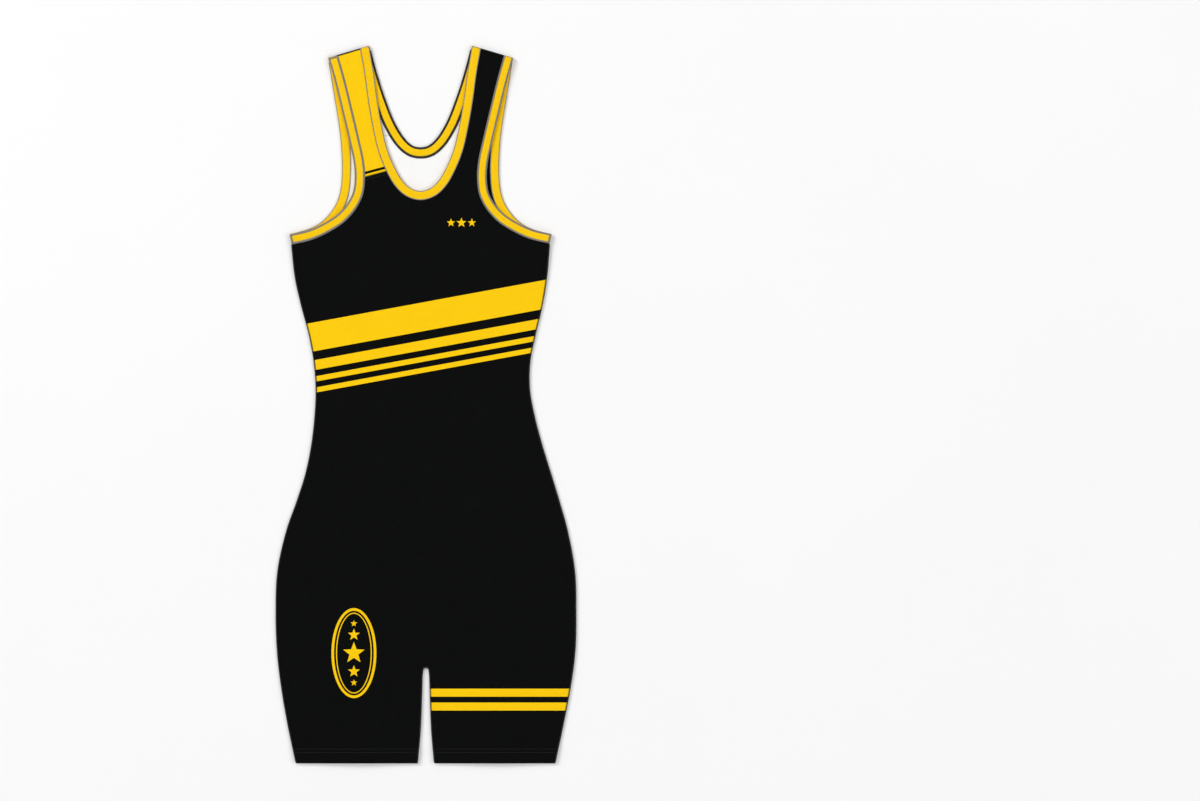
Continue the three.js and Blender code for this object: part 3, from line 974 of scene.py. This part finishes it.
def makeWraps():
    made = []
    for side, label in wearerSides.items():
        ups = np.arange(1.0, sideTop - 1, 1.0)
        edge = np.column_stack([sideAt[side](ups), ups])
        made.append(wrapMesh(f"side_seam_{label}", edge, side, wrapSettings, clothSides))
    low, high = pattern["notchRoundFrom"], pattern["crotchUp"]
    ups = np.concatenate([np.arange(1.0, low, 1.0), np.linspace(low, high, 12)])
    right = np.column_stack([-inseamAt(ups), ups])
    left = np.column_stack([inseamAt(ups), ups])[::-1]
    made.append(wrapMesh("leg_seam", np.vstack([right, left[1:]]), 1, wrapSettings, clothSides))
    return made


def makeUnderarmWraps():
    # Grey thread round the ends of the armhole bindings, where they meet at the side seam
    made, settings = {}, endWrapSettings

    def sidesAt(inside):
        return np.full(len(inside), settings["upper"]), np.full(len(inside), settings["lower"])

    for side, label in wearerSides.items():
        line = []
        last = pattern["bindingWidth"] + settings["beyond"]
        for inward in np.linspace(settings["from"], last, settings["steps"]):
            run, start, end = bindingRun("front", "armhole", inward, 0)
            line.append(placed(run[:1], side)[0])
        made[side] = wrapMesh(f"underarm_wrap_{label}", np.array(line), -side, settings, sidesAt)
    return made


wraps = makeWraps()
underarmWraps = makeUnderarmWraps()

# Shoulder tape: a rounded nose over the fold, low under the front bindings, and a flat tail on the back
tapeSettings = {
    "noseHigh": 3.95, "noseLow": 2.2, "tailHeight": 1.9, "lap": 0.24, "beside": (-0.4, 0.8),
    "foot": 0.05, "step": 0.1, "steps": 40, "turns": 9,
}


def makeTape(name, side):
    tape, width, nose = tapeSettings, pattern["bindingWidth"], pattern["tapeNose"]
    neckEnd, armEnd = placed(np.array([foldEnds["neck"], foldEnds["armhole"]], float), side)
    along = (armEnd - neckEnd) / foldLength
    down = side * np.array([along[1], -along[0]])
    tailHigh, rows = tape["tailHeight"], []
    for far in np.linspace(0, foldLength, tape["steps"] + 1):
        # Between the bindings the nose is high and the tail laps the strap
        free = float(rise(min(far, foldLength - far), width + tape["beside"][0], width + tape["beside"][1]))
        high = tape["noseLow"] + (tape["noseHigh"] - tape["noseLow"]) * free
        tail = pattern["tapeDepth"] + tape["lap"] * free
        section = [(tail, tape["foot"]), (tail, tailHigh)]
        section += [(nose, tailHigh + tape["foot"]), (nose, high - tape["step"])]
        for turn in np.linspace(math.pi / 2, 3 * math.pi / 2, tape["turns"]):
            section.append((nose + nose * math.cos(turn), high / 2 + high / 2 * math.sin(turn)))
        foot = neckEnd + along * far
        rows.append([(*(foot + down * away), z) for away, z in section])
    points = [point for row in rows for point in row]
    mesh = meshOutward(name, points, tubeFaces(len(rows), len(rows[0])))
    return linkPiece(name, mesh, [knit["blackTape"]])


tapes = {side: makeTape(f"tape_{label}", side) for side, label in wearerSides.items()}
print("tapes made")

# Printed ornaments in thin film, plain stars and rings: their places, and how far the film stands off
ornaments = {
    "lift": {"front": 0.08, "back": -0.024},
    "rooted": 1.5,
    "starWaist": 0.42,
    "thigh": {"x": -86.4, "up": 132.3, "ring": (27.0, 54.0, 3.2), "innerRing": (21.5, 48.5, 1.3),
              "stars": [(0, 0, 13.5), (0, 22, 7.5), (0, -22, 7.5), (0, 35.5, 4.2), (0, -35.5, 4.2)]},
    "chest": {"x": 42.6, "up": 648.5, "stars": [(-12.5, 0, 5.2), (0, 0, 6.2), (12.5, 0, 5.2)]},
    "back": {"x": -0.5, "up": 652.0, "ring": (17.0, 17.0, 2.2), "stars": [(0, 0, 11.0)],
             "arc": {"radius": 33.0, "stars": 7, "size": 4.2, "from": 160, "to": 20}},
}


def filmFrom(loops, centre=None):
    # A film between closed loops of points, ending at a centre if one is given
    points = [p for loop in loops for p in loop]
    count = len(loops[0])
    faces = ringFaces(len(loops), count)
    if centre is not None:
        last = (len(loops) - 1) * count
        points.append(centre)
        faces += [(last + k, last + (k + 1) % count, len(points) - 1) for k in range(count)]
    return np.array(points), faces


def ringFilm(x, up, across, along, width):
    turns = np.linspace(0, 2 * math.pi, 120, endpoint=False)
    loops = [np.column_stack([x + (across - d) * np.cos(turns), up + (along - d) * np.sin(turns)])
             for d in np.linspace(0, width, 3)]
    return filmFrom(loops)


def starFilm(x, up, radius):
    corners = []
    for k in range(11):
        turn = math.pi / 2 + k * math.pi / 5
        reach = radius if k % 2 == 0 else radius * ornaments["starWaist"]
        corners.append((reach * math.cos(turn), reach * math.sin(turn)))
    outline = pickAlong(np.array(corners), np.arange(0, 10, 0.25))
    middle = np.array([x, up])
    return filmFrom([middle + outline * share for share in (1.0, 0.75, 0.5, 0.25)], middle)


def makeOrnament(name, face, place):
    points, faces, lift = [], [], ornaments["lift"][face]
    for flat, cells in ornamentParts(place):
        under, over = clothHeights(face, flat)
        base = over if face == "front" else under
        for layer in layerFaces(cells, len(flat), len(points)):
            faces += layer
        for height in (base + lift, base - lift * ornaments["rooted"]):
            points += list(np.column_stack([flat, height]))
    return linkPiece(name, meshOutward(name, points, faces), [knit["goldKnit"]], smooth=False)


def ornamentParts(place):
    x, up = place["x"], place["up"]
    parts = [starFilm(x + out, up + above, radius) for out, above, radius in place["stars"]]
    parts += [ringFilm(x, up, *place[key]) for key in ("ring", "innerRing") if key in place]
    if "arc" in place:
        arc = place["arc"]
        for turn in np.radians(np.linspace(arc["from"], arc["to"], arc["stars"])):
            out, above = arc["radius"] * math.cos(turn), arc["radius"] * math.sin(turn)
            parts.append(starFilm(x + out, up + above, arc["size"]))
    return parts


ornamentPieces = {
    face: [makeOrnament(f"{key}_ornament", face, ornaments[key]) for key in keys]
    for face, keys in (("front", ("thigh", "chest")), ("back", ("back",)))
}
print("ornaments made")


def declareAll():
    for face in ("front", "back"):
        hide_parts(f"{face}_panel")
        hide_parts(f"strap_panel_{face}_right")
        for piece in ornamentPieces[face]:
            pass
        for piece in hemStitches[face]:
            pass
    for key, piece in bindings.items():
        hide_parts(bindingName("binding", *key))
        sewn = list(bindingStitches[key])
        if key[:2] == ("front", "armhole"):
            sewn.append(underarmWraps[key[2]])
    for side, label in wearerSides.items():
        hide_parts(f"shoulder_tape_{label}")


declareAll()

# Floor and lights: a pale sheet under soft lamps on four sides
floorSettings = {
    "size": 14.0, "level": -0.0001, "colour": (0.9, 0.9, 0.9), "shade": (0.875, 0.875, 0.875),
    "roughness": 0.9, "specular": 0.1, "grain": 3.0,
}
lamps = table("place size power", {
    "left": ((-5.3, 3.1, 4.2), 3.2, 350.0),
    "right": ((4.9, -0.6, 3.6), 2.6, 88.0),
    "far": ((1.6, 4.0, 3.2), 2.4, 42.0),
    "near": ((0.2, -4.4, 3.2), 2.6, 42.0),
})
skySettings = {"colour": (1.0, 1.0, 1.0), "strength": 0.45}


def makeFloor():
    half, low = floorSettings["size"] / 2, floorSettings["level"]
    mesh = bpy.data.meshes.new("floor")
    corners = [(-half, -half, low), (half, -half, low), (half, half, low), (-half, half, low)]
    mesh.from_pydata(corners, [], [(0, 1, 2, 3)])
    material, tree, shader, place = newMaterial("paleFloor", floorSettings)
    grain = noise(tree, place, floorSettings["grain"], 3.0)
    shadeBetween(tree, shader, grain, floorSettings["shade"], floorSettings["colour"])
    mesh.materials.append(material)
    floor = linked("floor", mesh)


def makeLights():
    for name, settings in lamps.items():
        data = bpy.data.lights.new(f"lamp_{name}", "AREA")
        data.shape = "SQUARE"
        data.size = settings["size"]
        data.energy = settings["power"]
        lamp = linked(f"lamp_{name}", data)
        lamp.location = settings["place"]
        lamp.rotation_euler = (-Vector(settings["place"])).to_track_quat("-Z", "Y").to_euler()
    world = bpy.data.worlds.new("softRoom")
    world.use_nodes = True
    sky = world.node_tree.nodes["Background"]
    sky.inputs["Color"].default_value = (*skySettings["colour"], 1)
    sky.inputs["Strength"].default_value = skySettings["strength"]
    bpy.context.scene.world = world
    bpy.context.scene.view_settings.view_transform = "Standard"


makeFloor()
makeLights()
print("floor and lights made")
